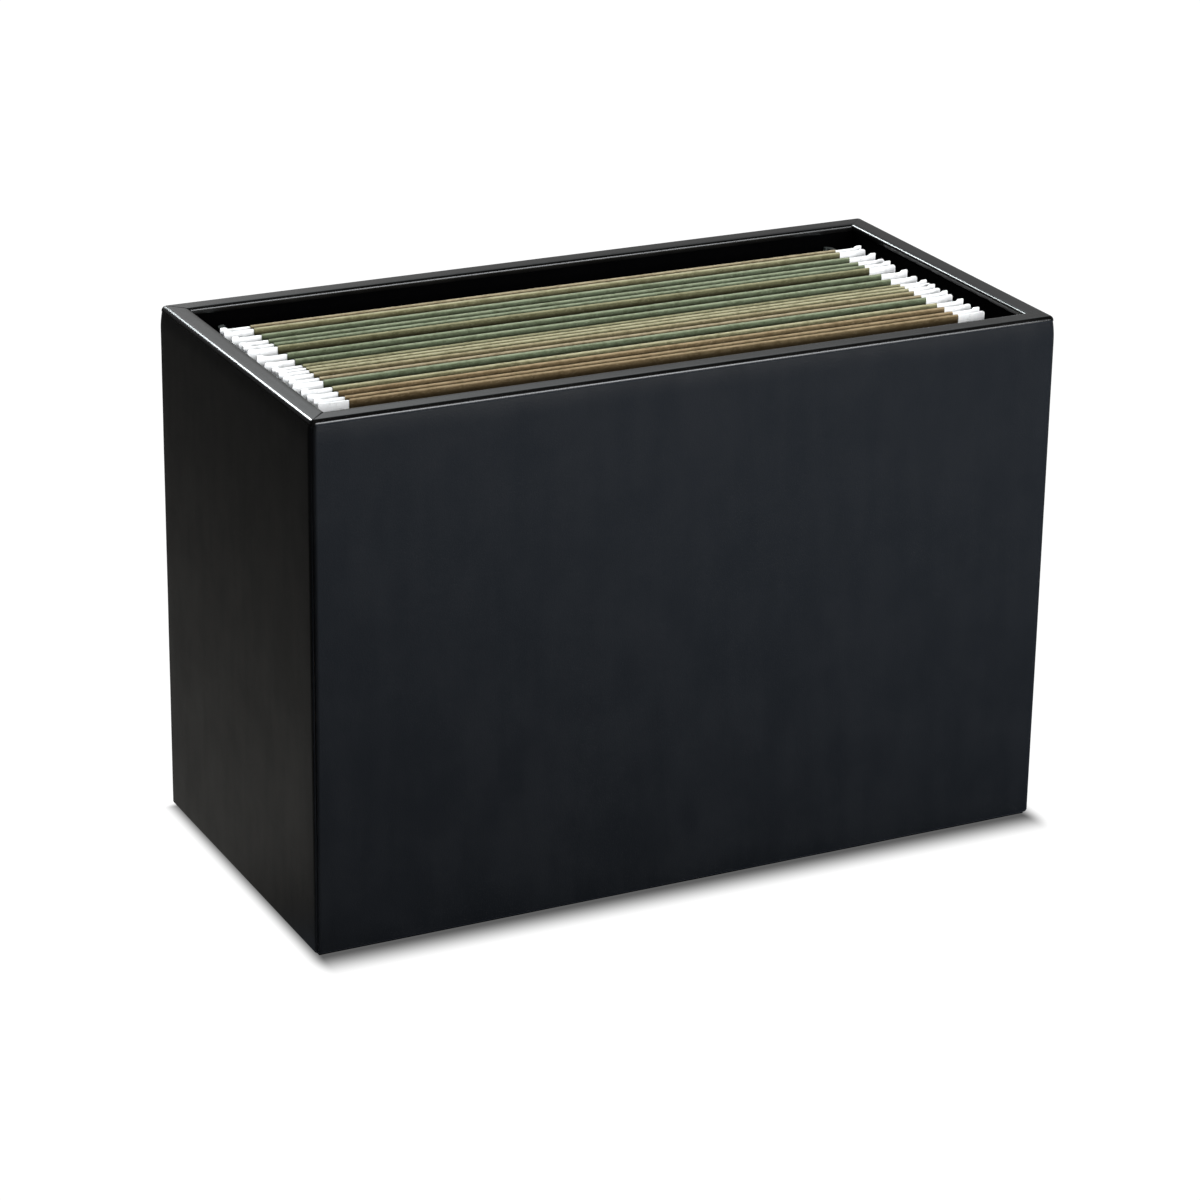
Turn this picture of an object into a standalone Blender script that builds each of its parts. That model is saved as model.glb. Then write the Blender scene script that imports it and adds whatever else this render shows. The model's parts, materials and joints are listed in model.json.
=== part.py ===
"""Desktop hanging-file box: an open, leather-covered and felt-lined box with two steel rails,
which carry nine letter-size hanging folders.

Frame: the origin is the middle of the underside, +X runs along the long side, -Y is the front
and +Z is up. Lengths are in metres.
"""

import math

import bmesh
import bpy

MM = 0.001
GAP = 0.3 * MM  # clearance between pieces that touch

# The box, outside
BOX_LENGTH = 362 * MM
BOX_DEPTH = 178 * MM
BOX_HEIGHT = 245 * MM

# The layers of a wall, from the outside in
COVER = 1.2 * MM
BOARD = 8.3 * MM
LINING = 0.9 * MM
WALL = COVER + GAP + BOARD + GAP + LINING
COVER_CORNER = 1.0 * MM

# The floor
BASE_FELT = 1.2 * MM
BASE_FELT_INSET = 2.0 * MM
BASE_BOARD = 5.0 * MM

# The rim: a flat strip on the wall's top edge with a leg turned down inside
RIM_THICKNESS = 2.2 * MM
RIM_LEG_HEIGHT = 4.5 * MM
RIM_OUTER_ROUND = 1.2 * MM
RIM_INNER_ROUND = 0.6 * MM
RIM_MITRE_GAP = 0.22 * MM

# The rails: flat strips on edge, whose ends are bent inwards and step down to low screw tabs
RAIL_OUTER_X = 158.0 * MM
RAIL_THICKNESS = 2.4 * MM
RAIL_HEIGHT = 12.0 * MM
RAIL_TOP = 235.7 * MM
RAIL_BEND = 1.2 * MM  # inside radius
RAIL_TAB = 17.0 * MM
RAIL_TAB_HEIGHT = 5.6 * MM

# The rail screws
SCREW_X = 147.5 * MM
SCREW_Z = RAIL_TOP - RAIL_HEIGHT + RAIL_TAB_HEIGHT / 2
SCREW_HEAD_RADIUS = 2.3 * MM
SCREW_HEAD_HEIGHT = 1.5 * MM
SCREW_RADIUS = 1.2 * MM
SCREW_HOLE_RADIUS = 1.5 * MM
SCREW_LENGTH = 9.6 * MM
SCREW_REACH = SCREW_LENGTH + 1.0 * MM  # how far a screw's hole goes beyond its seat
ROUND_STEPS = 16

# The folders: letter size
PAPER_WIDTH = 298.5 * MM
PAPER = 0.45 * MM
FOLD_Z = 8.9 * MM
HEM_TURN_BACK = 12.0 * MM
ROD_THICKNESS = 0.9 * MM
ROD_BOTTOM = RAIL_TOP - 2.1 * MM
ROD_TOP = RAIL_TOP + 3.9 * MM
HEM_OUTER = ROD_THICKNESS / 2 + GAP + PAPER
HEM_SLOT = ROD_THICKNESS / 2 + GAP
HEM_TOP = ROD_TOP + GAP + PAPER

# The hooks at each end of a rod, measured from the top of the rail
HOOK_START_X = 149.7 * MM
HOOK_TIP_X = 163.5 * MM
HOOK_TOP = 4.2 * MM
HOOK_CREST = 5.2 * MM
HOOK_BOTTOM = -3.4 * MM
NOTCH_HALF = 2.25 * MM
NOTCH_ROUND = 1.0 * MM
NOTCH_CROWN = GAP
TIP_LENGTH = 3.2 * MM  # how much of a hook's end stands raised
TIP_ROUND = 1.2 * MM
CHAMFER = 0.5 * MM

# Where each folder's front and rear rods hang, from the front folder to the rear one
ROD_PLACES_MM = (
    (-55.0, -50.4),
    (-43.0, -36.5),
    (-26.9, -22.6),
    (-15.9, -11.2),
    (-7.5, -3.7),
    (5.0, 14.0),
    (25.2, 29.8),
    (35.6, 43.8),
    (53.4, 57.6),
)

LEATHER = ("leather", (0.012, 0.014, 0.017), 0.45, 0.0)
RIM_LEATHER = ("rim_leather", (0.022, 0.023, 0.024), 0.38, 0.0)
FELT = ("felt", (0.003, 0.003, 0.003), 0.95, 0.0)
FIBREBOARD = ("fibreboard", (0.30, 0.20, 0.12), 0.8, 0.0)
STEEL = ("steel", (0.42, 0.44, 0.43), 0.35, 1.0)
SCREW_STEEL = ("screw_steel", (0.50, 0.50, 0.50), 0.3, 1.0)
COATING = ("coated_rod", (0.83, 0.84, 0.85), 0.35, 0.0)
TAN = ("pressboard_tan", (0.36, 0.27, 0.16), 0.8, 0.0)
BEIGE = ("pressboard_beige", (0.33, 0.30, 0.18), 0.8, 0.0)
KHAKI = ("pressboard_khaki", (0.22, 0.18, 0.09), 0.8, 0.0)
BROWN = ("pressboard_brown", (0.20, 0.14, 0.075), 0.8, 0.0)
OLIVE = ("pressboard_olive", (0.15, 0.14, 0.08), 0.8, 0.0)
GREEN = ("pressboard_green", (0.17, 0.22, 0.15), 0.8, 0.0)

# The colours of each folder's front and rear leaves, in the same order as the rods
LEAF_COLOURS = (
    (BROWN, BROWN),
    (BROWN, BEIGE),
    (GREEN, TAN),
    (KHAKI, BEIGE),
    (BEIGE, OLIVE),
    (GREEN, GREEN),
    (OLIVE, GREEN),
    (GREEN, GREEN),
    (BEIGE, TAN),
)

# Rotations that lay an outline's own XY plane across the named axis
TURNS = {
    "x": (math.pi / 2, 0, math.pi / 2),
    "y": (math.pi / 2, 0, 0),
}


def clear_scene():
    for ob in list(bpy.data.objects):
        bpy.data.objects.remove(ob, do_unlink=True)


def new_collection(name):
    collection = bpy.data.collections.new(name)
    bpy.context.scene.collection.children.link(collection)
    return collection


def material(finish):
    """The Principled material of a (name, colour, roughness, metallic) finish, made once."""
    name, colour, roughness, metallic = finish
    found = bpy.data.materials.get(name)
    if found:
        return found
    made = bpy.data.materials.new(name)
    made.use_nodes = True
    shader = made.node_tree.nodes["Principled BSDF"]
    shader.inputs["Base Color"].default_value = (*colour, 1.0)
    shader.inputs["Roughness"].default_value = roughness
    shader.inputs["Metallic"].default_value = metallic
    return made


def place(name, mesh, finish, location=(0, 0, 0), turn=(0, 0, 0), parent=None):
    ob = bpy.data.objects.new(name, mesh)
    ob.location = location
    ob.rotation_euler = turn
    ob.parent = parent
    parts.objects.link(ob)
    mesh.materials.append(material(finish))
    return ob


def place_cutter(name, mesh, location, turn=(0, 0, 0)):
    ob = bpy.data.objects.new(name, mesh)
    ob.location = location
    ob.rotation_euler = turn
    ob.hide_render = True
    ob.display_type = "WIRE"
    cutters.objects.link(ob)
    return ob


def empty(name, location, parent=None):
    ob = bpy.data.objects.new(name, None)
    ob.location = location
    ob.parent = parent
    ob.empty_display_size = 0.02
    parts.objects.link(ob)
    return ob


def arc(x, y, radius, start, end, steps):
    """Points round (x, y) from one angle to another, in degrees, both ends included."""
    angles = [math.radians(start + (end - start) * n / steps) for n in range(steps + 1)]
    return [(x + radius * math.cos(a), y + radius * math.sin(a)) for a in angles]


def outline_mesh(name, loops, depth):
    """A flat outline, with any holes, extruded by depth about its own plane."""
    curve = bpy.data.curves.new(name, "CURVE")
    curve.dimensions = "2D"
    curve.fill_mode = "BOTH"
    curve.extrude = depth / 2
    for loop in loops:
        spline = curve.splines.new("POLY")
        spline.points.add(len(loop) - 1)
        for point, (x, y) in zip(spline.points, loop):
            point.co = (x, y, 0, 1)
        spline.use_cyclic_u = True
    guide = bpy.data.objects.new(name, curve)
    parts.objects.link(guide)
    graph = bpy.context.evaluated_depsgraph_get()
    mesh = bpy.data.meshes.new_from_object(guide.evaluated_get(graph))
    bpy.data.objects.remove(guide, do_unlink=True)
    bpy.data.curves.remove(curve)
    bm = bmesh.new()
    bm.from_mesh(mesh)
    bmesh.ops.remove_doubles(bm, verts=bm.verts, dist=0.001 * MM)
    bmesh.ops.recalc_face_normals(bm, faces=bm.faces)
    bm.to_mesh(mesh)
    bm.free()
    mesh.name = name
    return mesh


def box_mesh(name, low, high):
    """A box's mesh about its own middle, and where the middle is."""
    middle = [(a + b) / 2 for a, b in zip(low, high)]
    size = [b - a for a, b in zip(low, high)]
    bm = bmesh.new()
    bmesh.ops.create_cube(bm, size=1.0)
    bmesh.ops.scale(bm, vec=size, verts=bm.verts)
    mesh = bpy.data.meshes.new(name)
    bm.to_mesh(mesh)
    bm.free()
    return mesh, middle


def slab(name, low, high, finish):
    """A box between two corners, as an object at its middle."""
    mesh, middle = box_mesh(name, low, high)
    return place(name, mesh, finish, middle)


def screw_hole(name, x, y):
    """A cutter through a wall's layers, along Y at a rail screw."""
    bm = bmesh.new()
    bmesh.ops.create_cone(
        bm,
        cap_ends=True,
        segments=ROUND_STEPS,
        radius1=SCREW_HOLE_RADIUS,
        radius2=SCREW_HOLE_RADIUS,
        depth=2 * SCREW_REACH,
    )
    mesh = bpy.data.meshes.new(name)
    bm.to_mesh(mesh)
    bm.free()
    return place_cutter(name, mesh, (x, y, SCREW_Z), TURNS["y"])


def cut(ob, cutter):
    boolean = ob.modifiers.new(cutter.name, "BOOLEAN")
    boolean.operation = "DIFFERENCE"
    boolean.solver = "EXACT"
    boolean.object = cutter


def make_floor():
    slab(
        "base_felt",
        (-BOX_LENGTH / 2 + BASE_FELT_INSET, -BOX_DEPTH / 2 + BASE_FELT_INSET, 0),
        (BOX_LENGTH / 2 - BASE_FELT_INSET, BOX_DEPTH / 2 - BASE_FELT_INSET, BASE_FELT),
        FELT,
    )
    inset = COVER + GAP + BOARD + GAP
    bottom = BASE_FELT + GAP
    slab(
        "base_board",
        (-BOX_LENGTH / 2 + inset, -BOX_DEPTH / 2 + inset, bottom),
        (BOX_LENGTH / 2 - inset, BOX_DEPTH / 2 - inset, bottom + BASE_BOARD),
        FIBREBOARD,
    )


def make_cores():
    """The four wall boards. The front and back boards run the full length."""
    low = BASE_FELT + GAP
    high = BOX_HEIGHT - RIM_THICKNESS - GAP
    end = BOX_LENGTH / 2 - COVER - GAP
    face = BOX_DEPTH / 2 - COVER - GAP
    inner = face - BOARD
    cores = {
        "front": slab("core_front", (-end, -face, low), (end, -inner, high), FIBREBOARD),
        "back": slab("core_back", (-end, inner, low), (end, face, high), FIBREBOARD),
    }
    side = inner - GAP
    slab("core_left", (-end, -side, low), (-end + BOARD, side, high), FIBREBOARD)
    slab("core_right", (end - BOARD, -side, low), (end, side, high), FIBREBOARD)
    return cores


def make_covers():
    """The leather on the outer faces. The front and back covers lap over the side covers."""
    low = BASE_FELT + GAP
    height = BOX_HEIGHT - RIM_THICKNESS - GAP - low
    end = BOX_LENGTH / 2
    face = BOX_DEPTH / 2
    r = COVER_CORNER
    lap = [(-end, COVER), *arc(-end + r, r, r, 180, 270, 4)]
    lap += [*arc(end - r, r, r, 270, 360, 4), (end, COVER)]
    mesh = outline_mesh("leather_front", [lap], height)
    z = low + height / 2
    place("leather_front", mesh, LEATHER, (0, -face, z))
    back = outline_mesh("leather_back", [lap], height)
    place("leather_back", back, LEATHER, (0, face, z), (0, 0, math.pi))
    side = face - COVER - GAP
    top = low + height
    slab("leather_left", (-end, -side, low), (-end + COVER, side, top), LEATHER)
    slab("leather_right", (end - COVER, -side, low), (end, side, top), LEATHER)


def rim_profile():
    """The rim's section: across the wall from its outer face, and up."""
    leg = LINING
    under = BOX_HEIGHT - RIM_THICKNESS
    foot = BOX_HEIGHT - RIM_LEG_HEIGHT
    outer = RIM_OUTER_ROUND
    inner = RIM_INNER_ROUND
    points = [(0, under)]
    points += arc(outer, BOX_HEIGHT - outer, outer, 180, 90, 4)
    points += arc(WALL - inner, BOX_HEIGHT - inner, inner, 90, 0, 3)
    points += [(WALL, foot), (WALL - leg, foot), (WALL - leg, under)]
    return points


def make_rim():
    """Four strips, mitred where they meet: each end is drawn in as far as it is across the wall."""
    sides = (
        ("rim_front", BOX_LENGTH, (0, -BOX_DEPTH / 2, 0), 0),
        ("rim_right", BOX_DEPTH, (BOX_LENGTH / 2, 0, 0), math.pi / 2),
        ("rim_back", BOX_LENGTH, (0, BOX_DEPTH / 2, 0), math.pi),
        ("rim_left", BOX_DEPTH, (-BOX_LENGTH / 2, 0, 0), -math.pi / 2),
    )
    for name, length, location, turn in sides:
        mesh = outline_mesh(name, [rim_profile()], length)
        for vertex in mesh.vertices:
            across, up, along = vertex.co
            half = length / 2 - RIM_MITRE_GAP - across
            vertex.co = (math.copysign(half, along), across, up)
        place(name, mesh, RIM_LEATHER, location, (0, 0, turn))


def make_linings():
    """The felt on the inner faces, from the floor board to the rim's leg."""
    low = BASE_FELT + GAP + BASE_BOARD + GAP
    high = BOX_HEIGHT - RIM_LEG_HEIGHT - GAP
    end = BOX_LENGTH / 2 - WALL
    face = BOX_DEPTH / 2 - WALL
    back = face + LINING
    linings = {
        "front": slab("lining_front", (-end, -back, low), (end, -face, high), FELT),
        "back": slab("lining_back", (-end, face, low), (end, back, high), FELT),
    }
    side = face - GAP
    slab("lining_left", (-end - LINING, -side, low), (-end, side, high), FELT)
    slab("lining_right", (end, -side, low), (end + LINING, side, high), FELT)
    return linings


def rail_outline():
    """The right rail from above: a strip along Y with both ends bent towards the middle."""
    outer = RAIL_OUTER_X
    inner = outer - RAIL_THICKNESS
    end = BOX_DEPTH / 2 - WALL - GAP
    inside = end - RAIL_THICKNESS
    big = RAIL_BEND + RAIL_THICKNESS
    tab = outer - RAIL_TAB
    points = [(tab, -end), *arc(outer - big, -end + big, big, -90, 0, 5)]
    points += [*arc(outer - big, end - big, big, 0, 90, 5), (tab, end), (tab, inside)]
    points += arc(inner - RAIL_BEND, inside - RAIL_BEND, RAIL_BEND, 90, 0, 5)
    points += [*arc(inner - RAIL_BEND, -inside + RAIL_BEND, RAIL_BEND, 0, -90, 5), (tab, -inside)]
    return points


def make_rail(hand, turn):
    """A rail, and the cut above both of its tabs, which ends where the bends begin."""
    middle = RAIL_TOP - RAIL_HEIGHT / 2
    mesh = outline_mesh(f"rail_{hand}", [rail_outline()], RAIL_HEIGHT)
    rail = place(f"rail_{hand}", mesh, STEEL, (0, 0, middle), (0, 0, turn))
    past_bend = RAIL_OUTER_X - RAIL_THICKNESS - RAIL_BEND
    low = (past_bend - RAIL_TAB, -BOX_DEPTH / 2, RAIL_TOP - RAIL_HEIGHT + RAIL_TAB_HEIGHT)
    high = (past_bend, BOX_DEPTH / 2, RAIL_TOP + RAIL_THICKNESS)
    mesh, place_at = box_mesh(f"above_tabs_{hand}", low, high)
    place_at[0] *= math.cos(turn)
    cut(rail, place_cutter(f"above_tabs_{hand}", mesh, place_at))
    return rail


def make_rails():
    return {"right": make_rail("right", 0), "left": make_rail("left", math.pi)}


def screw_mesh(name):
    """A pan-head screw turned about its own Z, head up, with its seat at the origin."""
    head = SCREW_HEAD_RADIUS
    tall = SCREW_HEAD_HEIGHT
    profile = [(0, tall), (0.6 * head, 0.9 * tall), (0.92 * head, 0.6 * tall), (head, 0.25 * tall)]
    profile += [(head, 0), (SCREW_RADIUS, 0), (SCREW_RADIUS, -0.85 * SCREW_LENGTH), (0, -SCREW_LENGTH)]
    bm = bmesh.new()
    points = [bm.verts.new((x, 0, z)) for x, z in profile]
    for a, b in zip(points, points[1:]):
        bm.edges.new((a, b))
    mesh = bpy.data.meshes.new(name)
    bm.to_mesh(mesh)
    bm.free()
    return mesh


def make_screws(cores, linings, rails):
    """Four screws through the rails' tabs, with the holes that they pass through."""
    seat = BOX_DEPTH / 2 - WALL - GAP - RAIL_THICKNESS - GAP / 3
    for side, way in (("front", -1), ("back", 1)):
        for end, hand in (("left", -1), ("right", 1)):
            name = f"rail_screw_{side}_{end}"
            x = hand * SCREW_X
            mesh = screw_mesh(name)
            turn = (way * math.pi / 2, 0, 0)
            screw = place(name, mesh, SCREW_STEEL, (x, way * seat, SCREW_Z), turn)
            spin = screw.modifiers.new("turned", "SCREW")
            spin.steps = ROUND_STEPS
            spin.render_steps = ROUND_STEPS
            spin.use_merge_vertices = True
            spin.merge_threshold = 0.01 * MM
            hole = screw_hole(f"hole_{side}_{end}", x, way * seat)
            for ob in (cores[side], linings[side], rails[end]):
                cut(ob, hole)


def rod_outline():
    """A rod from the front: a flat bar with a hook notched over the rail at each end."""
    rail_x = RAIL_OUTER_X - RAIL_THICKNESS / 2
    bend = NOTCH_HALF - NOTCH_ROUND
    shoulder = NOTCH_CROWN - NOTCH_ROUND
    tip = HOOK_TIP_X
    tip_bottom = HOOK_BOTTOM + 2 * CHAMFER
    right = [
        (HOOK_START_X, ROD_TOP - RAIL_TOP),
        (HOOK_START_X + 2 * CHAMFER, HOOK_TOP),
        (rail_x - NOTCH_HALF, HOOK_TOP),
        (tip - TIP_LENGTH, HOOK_CREST),
        (tip - TIP_ROUND, HOOK_CREST - CHAMFER),
        (tip, HOOK_CREST - TIP_LENGTH + CHAMFER),
        *arc(tip - TIP_ROUND, tip_bottom + TIP_ROUND, TIP_ROUND, 0, -90, 3),
        (rail_x + NOTCH_HALF + CHAMFER, tip_bottom),
        *arc(rail_x + bend, shoulder, NOTCH_ROUND, 0, 90, 3),
        *arc(rail_x - bend, shoulder, NOTCH_ROUND, 90, 180, 3),
        (rail_x - NOTCH_HALF, HOOK_BOTTOM + CHAMFER),
        (rail_x - NOTCH_HALF - CHAMFER, HOOK_BOTTOM),
        (HOOK_START_X, HOOK_BOTTOM),
        (HOOK_START_X, ROD_BOTTOM - RAIL_TOP),
    ]
    left = [(-x, y) for x, y in reversed(right)]
    return right + left


def leaf_outlines(rod_y, side):
    """A leaf from its end, measured from the fold: one sheet up to the hem, the edge turned back
    and glued down inside, and the slot that the rod lies in. side is 1 for the rear leaf."""
    slot_low = ROD_BOTTOM - GAP - FOLD_Z
    slot_high = ROD_TOP + GAP - FOLD_Z
    hem_low = slot_low - PAPER
    hem_top = HEM_TOP - FOLD_Z
    turn_end = hem_low - HEM_TURN_BACK
    foot = GAP / 2
    outside = abs(rod_y) + HEM_OUTER

    def sheet(z, depth):
        """A point on the slanted sheet, depth in from its outer face."""
        share = z / hem_low
        return (foot + PAPER) * (1 - share) + outside * share - depth, z

    across = abs(rod_y)
    outer = [sheet(0, PAPER), sheet(0, 0), (outside, hem_low)]
    outer += arc(across, hem_top - HEM_OUTER, HEM_OUTER, 0, 180, 8)
    outer += [(across - HEM_OUTER, slot_low), sheet(hem_low - PAPER, 2 * PAPER)]
    outer += [sheet(turn_end, 2 * PAPER), sheet(turn_end, PAPER)]
    slot = [(across - HEM_SLOT, slot_low), (across + HEM_SLOT, slot_low)]
    slot += arc(across, slot_high - HEM_SLOT, HEM_SLOT, 0, 180, 6)
    return [[(side * y, z) for y, z in loop] for loop in (outer, slot)]


def make_folder(number, places, colours):
    """Two leaves that meet at the bottom fold, each with its rod. The rear half hangs from the
    lift empty, and the front half from the open empty, which turns about the fold."""
    fold_y = sum(places) / 2 * MM
    name = f"folder_{number}"
    lift = empty(f"{name}_lift", (0, fold_y, FOLD_Z))
    opening = empty(f"{name}_open", (0, 0, 0), lift)
    halves = (("front", -1, opening), ("rear", 1, lift))
    for (half, side, parent), place_mm, colour in zip(halves, places, colours):
        rod_y = place_mm * MM - fold_y
        leaf = f"{name}_{half}_leaf"
        mesh = outline_mesh(leaf, leaf_outlines(rod_y, side), PAPER_WIDTH)
        place(leaf, mesh, colour, turn=TURNS["x"], parent=parent)
        rod = f"{name}_{half}_rod"
        mesh = outline_mesh(rod, [rod_outline()], ROD_THICKNESS)
        location = (0, rod_y, RAIL_TOP - FOLD_Z)
        place(rod, mesh, COATING, location, TURNS["y"], parent)


clear_scene()
parts = new_collection("hanging_file_box")
cutters = new_collection("cutters")
make_floor()
core_boards = make_cores()
make_covers()
make_rim()
lining_sheets = make_linings()
rail_strips = make_rails()
make_screws(core_boards, lining_sheets, rail_strips)
for index, (rod_places, leaf_colours) in enumerate(zip(ROD_PLACES_MM, LEAF_COLOURS), 1):
    make_folder(index, rod_places, leaf_colours)
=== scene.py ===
"""Looks of the desktop hanging-file box: leather covers and a mitred leather rim over board walls,
black felt inside, two steel rails, and nine pressboard hanging folders on coated steel hooks.

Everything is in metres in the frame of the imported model: +X along the long side, -Y the front and
+Z up, with the origin in the middle of the underside.
"""

import json
import math

import bmesh
import bpy
from mathutils import Matrix, Vector, noise


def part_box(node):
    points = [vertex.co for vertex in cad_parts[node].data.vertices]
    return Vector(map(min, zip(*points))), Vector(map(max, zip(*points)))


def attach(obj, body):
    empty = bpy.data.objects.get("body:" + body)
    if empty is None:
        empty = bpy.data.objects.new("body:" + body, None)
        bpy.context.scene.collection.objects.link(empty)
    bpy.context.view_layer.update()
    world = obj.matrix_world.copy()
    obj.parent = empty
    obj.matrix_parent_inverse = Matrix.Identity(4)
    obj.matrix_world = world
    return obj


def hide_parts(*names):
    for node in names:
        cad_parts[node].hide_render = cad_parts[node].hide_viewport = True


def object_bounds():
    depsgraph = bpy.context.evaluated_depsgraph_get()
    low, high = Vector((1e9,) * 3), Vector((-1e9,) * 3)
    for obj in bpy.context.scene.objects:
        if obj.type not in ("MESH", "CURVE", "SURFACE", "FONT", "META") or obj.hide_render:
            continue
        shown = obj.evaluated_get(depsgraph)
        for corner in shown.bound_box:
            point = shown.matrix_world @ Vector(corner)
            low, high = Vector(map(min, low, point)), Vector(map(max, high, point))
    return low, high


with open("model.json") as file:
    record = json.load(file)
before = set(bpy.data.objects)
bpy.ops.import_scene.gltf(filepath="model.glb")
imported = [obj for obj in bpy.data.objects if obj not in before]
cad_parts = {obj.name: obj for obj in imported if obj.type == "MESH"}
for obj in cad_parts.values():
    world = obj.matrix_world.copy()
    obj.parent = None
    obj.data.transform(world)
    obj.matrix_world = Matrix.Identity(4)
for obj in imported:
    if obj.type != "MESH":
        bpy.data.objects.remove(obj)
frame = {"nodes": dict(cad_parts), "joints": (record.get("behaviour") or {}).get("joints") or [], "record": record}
cad_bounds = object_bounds()

MM = 0.001
BOX_LOW, BOX_HIGH = cad_bounds
HALF_LENGTH = BOX_HIGH.x
HALF_DEPTH = BOX_HIGH.y
TOP = BOX_HIGH.z

# The leather, outside
LEATHER = 0.9 * MM
CORNER_STEPS = 9  # columns in half of an upright corner
CORNER_TOP = 3.3 * MM  # radius of the upright corners, in plan, at the top
CORNER_BOTTOM = 2.7 * MM
SHOULDER = 9 * MM  # height over which a cover leans in below the rim
SHOULDER_LEAN = math.radians(8)
UNDER_ROLL = 1.1 * MM  # radius of a cover's bottom edge
TURN_UNDER = 6 * MM  # how far a cover runs in under its board
SEAM_DEPTH = 0.32 * MM
SEAM_WIDTH = 0.55 * MM
SEAM_GAP = 0.01 * MM
COVER_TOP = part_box("leather_front")[1].z + 0.13 * MM
COVER_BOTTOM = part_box("leather_front")[0].z

# The rim
WALL = HALF_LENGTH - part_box("lining_right")[0].x
RIM_ROLL = 2.2 * MM
RIM_INNER_ROLL = 1.6 * MM
RIM_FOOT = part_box("rim_left")[0].z + 1.2 * MM
RIM_UNDER = COVER_TOP + 0.02 * MM
MITRE_GAP = 0.60 * MM

# Each wall: its turn about Z from the front wall, half its length, and how far out its face is
WALLS = {
    "front": (0, HALF_LENGTH, HALF_DEPTH),
    "right": (math.pi / 2, HALF_DEPTH, HALF_LENGTH),
    "back": (math.pi, HALF_LENGTH, HALF_DEPTH),
    "left": (-math.pi / 2, HALF_DEPTH, HALF_LENGTH),
}

# The felt
FELT_REACH = 0.28 * MM  # how far a wall's felt runs on at each end, so that the corners close

# The rails and their screws
HALF_RAIL = 1.2 * MM  # half a rail's thickness
SCREW_HEAD = 1.5 * MM
SCREW_SHANK = 1.2 * MM
SCREW_TURNS = {"front": -0.5, "back": 0.35}  # how far round the recesses stand

# The folders
FOLDERS = range(1, 10)
PAPER = 0.32 * MM
HEM = 0.78 * MM  # half a hem's thickness
HEM_HEIGHT = 7.5 * MM
BAR = 0.7 * MM  # a rod's thickness
BAR_HEIGHT = 6 * MM
HOOK_RISE = 4.2 * MM  # above the rail's top
HOOK_DROP = 3.4 * MM  # below it
NOTCH = 2.25 * MM  # half the width of a hook's notch
LUGS = {"front": (0.3 * MM, 1.1 * MM), "rear": (0.9 * MM, 0.3 * MM)}  # a tip's rise and rounding
HEM_TURN_BACK = 12 * MM
SCORE_HEIGHTS = (9 * MM, 15 * MM, 21 * MM)
SCORE_WIDTH = 0.9 * MM
SCORE_DEPTH = 0.18 * MM
TAB_SLOT_PITCH = 24 * MM
TAB_SLOT_LENGTH = 9 * MM
TAB_SLOT_DROPS = (9.5 * MM, 20.5 * MM)  # below the hem's top
TAB_SLOT_HEIGHT = 1.1 * MM


# Meshes

def add_object(name, mesh, material):
    ob = bpy.data.objects.new(name, mesh)
    bpy.context.scene.collection.objects.link(ob)
    mesh.materials.append(material)
    return ob


def smooth(mesh, degrees):
    mesh.shade_smooth()
    mesh.set_sharp_from_angle(angle=math.radians(degrees))


def grid_mesh(name, columns, rows, point, ring=False, skip=None):
    """Quads between the points point(column, row). A ring joins the last row to the first, and its
    two open ends are closed with a face. skip(column, row) leaves a quad out."""
    bm = bmesh.new()
    verts = [[bm.verts.new(point(i, j)) for j in range(rows)] for i in range(columns)]
    last = rows if ring else rows - 1
    for i in range(columns - 1):
        for j in range(last):
            if skip and skip(i, j):
                continue
            k = (j + 1) % rows
            bm.faces.new((verts[i][j], verts[i + 1][j], verts[i + 1][k], verts[i][k]))
    if ring:
        bm.faces.new(reversed(verts[0]))
        bm.faces.new(verts[-1])
    bmesh.ops.remove_doubles(bm, verts=bm.verts, dist=0.002 * MM)
    bmesh.ops.recalc_face_normals(bm, faces=bm.faces)
    mesh = bpy.data.meshes.new(name)
    bm.to_mesh(mesh)
    bm.free()
    return mesh


def fillet(corners, steps):
    """A polygon's points with its corners (x, y, radius) rounded."""
    points = []
    for n, (x, y, radius) in enumerate(corners):
        here = Vector((x, y))
        before = (Vector(corners[n - 1][:2]) - here).normalized()
        after = (Vector(corners[(n + 1) % len(corners)][:2]) - here).normalized()
        half = before.angle(after) / 2
        run = radius / math.tan(half)
        centre = here + (before + after).normalized() * (radius / math.sin(half))
        start = here + before * run - centre
        turn = start.angle_signed(here + after * run - centre)
        for step in range(steps + 1):
            angle = -turn * step / steps
            spoke = Matrix.Rotation(angle, 2) @ start
            points.append(tuple(centre + spoke))
    return points


def plate(name, outline, depth, material, to_world, edge):
    """An outline extruded by depth, with its edges rounded."""
    bm = bmesh.new()
    low = [bm.verts.new((x, y, -depth / 2)) for x, y in outline]
    high = [bm.verts.new((x, y, depth / 2)) for x, y in outline]
    bm.faces.new(reversed(low))
    bm.faces.new(high)
    for n in range(len(outline)):
        k = (n + 1) % len(outline)
        bm.faces.new((low[n], low[k], high[k], high[n]))
    bmesh.ops.recalc_face_normals(bm, faces=bm.faces)
    bmesh.ops.transform(bm, matrix=to_world, verts=bm.verts)
    mesh = bpy.data.meshes.new(name)
    bm.to_mesh(mesh)
    bm.free()
    ob = add_object(name, mesh, material)
    round_edges(ob, edge)
    return ob


def round_edges(ob, width):
    bevel = ob.modifiers.new("rounded", "BEVEL")
    bevel.width = width
    bevel.segments = 3
    bevel.limit_method = "ANGLE"
    bevel.angle_limit = math.radians(40)
    bevel.harden_normals = True
    smooth(ob.data, 40)


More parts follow.
